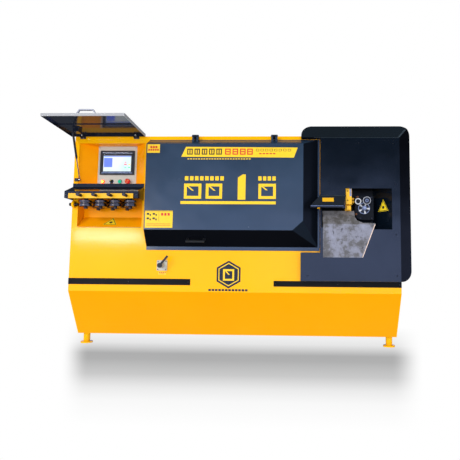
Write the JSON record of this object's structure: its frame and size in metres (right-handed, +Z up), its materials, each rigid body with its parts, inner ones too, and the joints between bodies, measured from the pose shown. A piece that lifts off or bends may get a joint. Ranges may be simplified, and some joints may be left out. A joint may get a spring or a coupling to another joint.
{
  "type": "rebar bender",
  "caption": "Stationary CNC rebar stirrup bending and straightening machine with roller entry, hinged hood, cutter and bending head.",
  "frame": {"origin": "on the floor at the centre of the four anchor holes", "axes": "+X along the wire path towards the bending head, operator side faces -Y, +Z up"},
  "size_m": [2.597, 1.4409, 1.688],
  "materials": {
    "cabinet_yellow": "glossy enamel",
    "skirt_yellow": "glossy enamel",
    "hood_navy": "semi-gloss enamel",
    "panel_black": "semi-gloss enamel",
    "lid_black": "gloss enamel",
    "frame_grey": "primer",
    "plate_steel": "bare, mottled",
    "machined_steel": "machined",
    "dark_steel": "blackened",
    "tool_yellow": "satin",
    "chrome_trim": "polished",
    "black_plastic": "moulded",
    "light_grey": "satin",
    "screen_glass": "gloss",
    "red_plastic": "gloss",
    "green_plastic": "gloss"
  },
  "bodies": {
    "cabinet": {"base_frame": "frame_grey", "feet": "cabinet_yellow", "front_panel": "cabinet_yellow", "front_skirt": "skirt_yellow", "side_panels": "cabinet_yellow", "top_cover": "cabinet_yellow", "rear_panel": "cabinet_yellow", "trim_strips": "panel_black", "cable_gland": "black_plastic", "control_box": "light_grey", "control_niche": "cabinet_yellow", "control_plate": "light_grey", "hmi_bezel": "black_plastic", "hmi_screen": "screen_glass", "power_lamp": "red_plastic", "isolator_base": "light_grey", "roller_bay": "cabinet_yellow", "shelf_guard": "lid_black", "adjust_bar": "tool_yellow", "entry_bed": "dark_steel", "inlet_bracket": "cabinet_yellow", "inlet_bush": "dark_steel", "cover_brackets": "dark_steel", "head_panel": "panel_black", "recess_liner": "panel_black", "deflector_plate": "plate_steel", "mounting_plates": "frame_grey", "drive_motors": "dark_steel", "cutter_body": "tool_yellow", "bend_housing": "hood_navy"},
    "control_lid": {"control_lid": "lid_black", "lid_handle": "chrome_trim"},
    "strut_rod": {"strut_rod": "chrome_trim"},
    "strut_tube": {"strut_tube": "black_plastic"},
    "hood": {"hood": "hood_navy", "hood_handle": "dark_steel", "ledge_guard": "lid_black"},
    "rear_door": {"rear_door": "cabinet_yellow"},
    "selector_knob": {"selector_knob": "black_plastic"},
    "start_button": {"start_button": "green_plastic"},
    "estop_button": {"estop_button": "red_plastic"},
    "isolator_handle": {"isolator_handle": "black_plastic"},
    "drive_wheel": {"drive_wheel": "machined_steel"},
    "press_arm": {"press_arm": "tool_yellow"},
    "press_wheel": {"press_wheel": "machined_steel"},
    "cutter_ram": {"cutter_ram": "tool_yellow"},
    "bend_spindle": {"bend_spindle": "machined_steel"},
    "bend_roller": {"bend_roller": "machined_steel"},
    "backing_roller": {"backing_roller": "machined_steel"},
    "carriage_1": {"carriage_1": "dark_steel"},
    "entry_roller_1": {"entry_roller_1": "dark_steel"},
    "carriage_2": {"carriage_2": "dark_steel"},
    "entry_roller_2": {"entry_roller_2": "dark_steel"},
    "carriage_3": {"carriage_3": "dark_steel"},
    "entry_roller_3": {"entry_roller_3": "dark_steel"},
    "carriage_4": {"carriage_4": "dark_steel"},
    "entry_roller_4": {"entry_roller_4": "dark_steel"},
    "back_roller_1": {"back_roller_1": "dark_steel"},
    "back_roller_2": {"back_roller_2": "dark_steel"},
    "back_roller_3": {"back_roller_3": "dark_steel"}
  },
  "joints": [
    {"name": "lid_hinge", "type": "hinge", "parent": "cabinet", "child": "control_lid", "pos_m": [-0.98, -0.582, 1.607], "axis": [-1, 0, 0], "range_deg": [-81, 0]},
    {"name": "strut_swing", "type": "hinge", "parent": "cabinet", "child": "strut_rod", "pos_m": [-1.2, -0.575, 1.268], "axis": [1, 0, 0], "range_deg": [-16.5, 0]},
    {"name": "strut_slide", "type": "slide", "parent": "strut_rod", "child": "strut_tube", "axis": [0, -0.3842, 0.9232], "range_m": [-0.154, 0]},
    {"name": "hood_hinge", "type": "hinge", "parent": "cabinet", "child": "hood", "pos_m": [0, -0.606, 1.602], "axis": [-1, 0, 0], "range_deg": [0, 75]},
    {"name": "rear_door_hinge", "type": "hinge", "parent": "cabinet", "child": "rear_door", "pos_m": [-0.518, 0.399, 0.8], "axis": [0, 0, 1], "range_deg": [0, 110]},
    {"name": "selector_turn", "type": "hinge", "parent": "cabinet", "child": "selector_knob", "pos_m": [-0.99, -0.48, 1.272], "axis": [0, -1, 0], "range_deg": [-45, 45]},
    {"name": "start_press", "type": "slide", "parent": "cabinet", "child": "start_button", "axis": [0, 1, 0], "range_m": [0, 0.004], "stiffness_N_per_m": 600},
    {"name": "estop_press", "type": "slide", "parent": "cabinet", "child": "estop_button", "axis": [0, 1, 0], "range_m": [0, 0.006], "stiffness_N_per_m": 1200},
    {"name": "isolator_turn", "type": "hinge", "parent": "cabinet", "child": "isolator_handle", "pos_m": [-0.538, -0.6, 0.616], "axis": [0, -1, 0], "range_deg": [0, 90]},
    {"name": "carriage_1_slide", "type": "slide", "parent": "cabinet", "child": "carriage_1", "axis": [0, 1, 0], "range_m": [-0.008, 0.008]},
    {"name": "entry_roller_1_spin", "type": "hinge", "parent": "carriage_1", "child": "entry_roller_1", "pos_m": [-1.115, -0.63, 1.0745], "axis": [0, 0, 1], "continuous": true},
    {"name": "carriage_2_slide", "type": "slide", "parent": "cabinet", "child": "carriage_2", "axis": [0, 1, 0], "range_m": [-0.008, 0.008]},
    {"name": "entry_roller_2_spin", "type": "hinge", "parent": "carriage_2", "child": "entry_roller_2", "pos_m": [-1.002, -0.63, 1.0745], "axis": [0, 0, 1], "continuous": true},
    {"name": "carriage_3_slide", "type": "slide", "parent": "cabinet", "child": "carriage_3", "axis": [0, 1, 0], "range_m": [-0.008, 0.008]},
    {"name": "entry_roller_3_spin", "type": "hinge", "parent": "carriage_3", "child": "entry_roller_3", "pos_m": [-0.889, -0.63, 1.0745], "axis": [0, 0, 1], "continuous": true},
    {"name": "carriage_4_slide", "type": "slide", "parent": "cabinet", "child": "carriage_4", "axis": [0, 1, 0], "range_m": [-0.008, 0.008]},
    {"name": "entry_roller_4_spin", "type": "hinge", "parent": "carriage_4", "child": "entry_roller_4", "pos_m": [-0.776, -0.63, 1.0745], "axis": [0, 0, 1], "continuous": true},
    {"name": "back_roller_1_spin", "type": "hinge", "parent": "cabinet", "child": "back_roller_1", "pos_m": [-1.0585, -0.54, 1.0745], "axis": [0, 0, 1], "continuous": true},
    {"name": "back_roller_2_spin", "type": "hinge", "parent": "cabinet", "child": "back_roller_2", "pos_m": [-0.9455, -0.54, 1.0745], "axis": [0, 0, 1], "continuous": true},
    {"name": "back_roller_3_spin", "type": "hinge", "parent": "cabinet", "child": "back_roller_3", "pos_m": [-0.8325, -0.54, 1.0745], "axis": [0, 0, 1], "continuous": true},
    {"name": "drive_wheel_spin", "type": "hinge", "parent": "cabinet", "child": "drive_wheel", "pos_m": [-0.1, -0.585, 1.01], "axis": [0, 1, 0], "continuous": true},
    {"name": "press_arm_lift", "type": "hinge", "parent": "cabinet", "child": "press_arm", "pos_m": [-0.24, -0.611, 1.17], "axis": [0, -1, 0], "range_deg": [0, 3]},
    {"name": "press_wheel_spin", "type": "hinge", "parent": "press_arm", "child": "press_wheel", "pos_m": [-0.1, -0.587, 1.14], "axis": [0, 1, 0], "continuous": true},
    {"name": "cutter_stroke", "type": "slide", "parent": "cabinet", "child": "cutter_ram", "axis": [0, 0, -1], "range_m": [0, 0.011]},
    {"name": "bend_turn", "type": "hinge", "parent": "cabinet", "child": "bend_spindle", "pos_m": [0.977, -0.585, 1.055], "axis": [0, 1, 0], "range_deg": [0, 135]},
    {"name": "bend_roller_spin", "type": "hinge", "parent": "bend_spindle", "child": "bend_roller", "pos_m": [0.995, -0.593, 1.11], "axis": [0, 1, 0], "continuous": true},
    {"name": "backing_roller_spin", "type": "hinge", "parent": "cabinet", "child": "backing_roller", "pos_m": [0.93, -0.593, 1.104], "axis": [0, 1, 0], "continuous": true}
  ],
  "couplings": [
    {"joint": "strut_swing", "follows": "lid_hinge", "ratio": 0.20197},
    {"joint": "strut_slide", "follows": "lid_hinge", "m_per_rad": 0.10801}
  ]
}
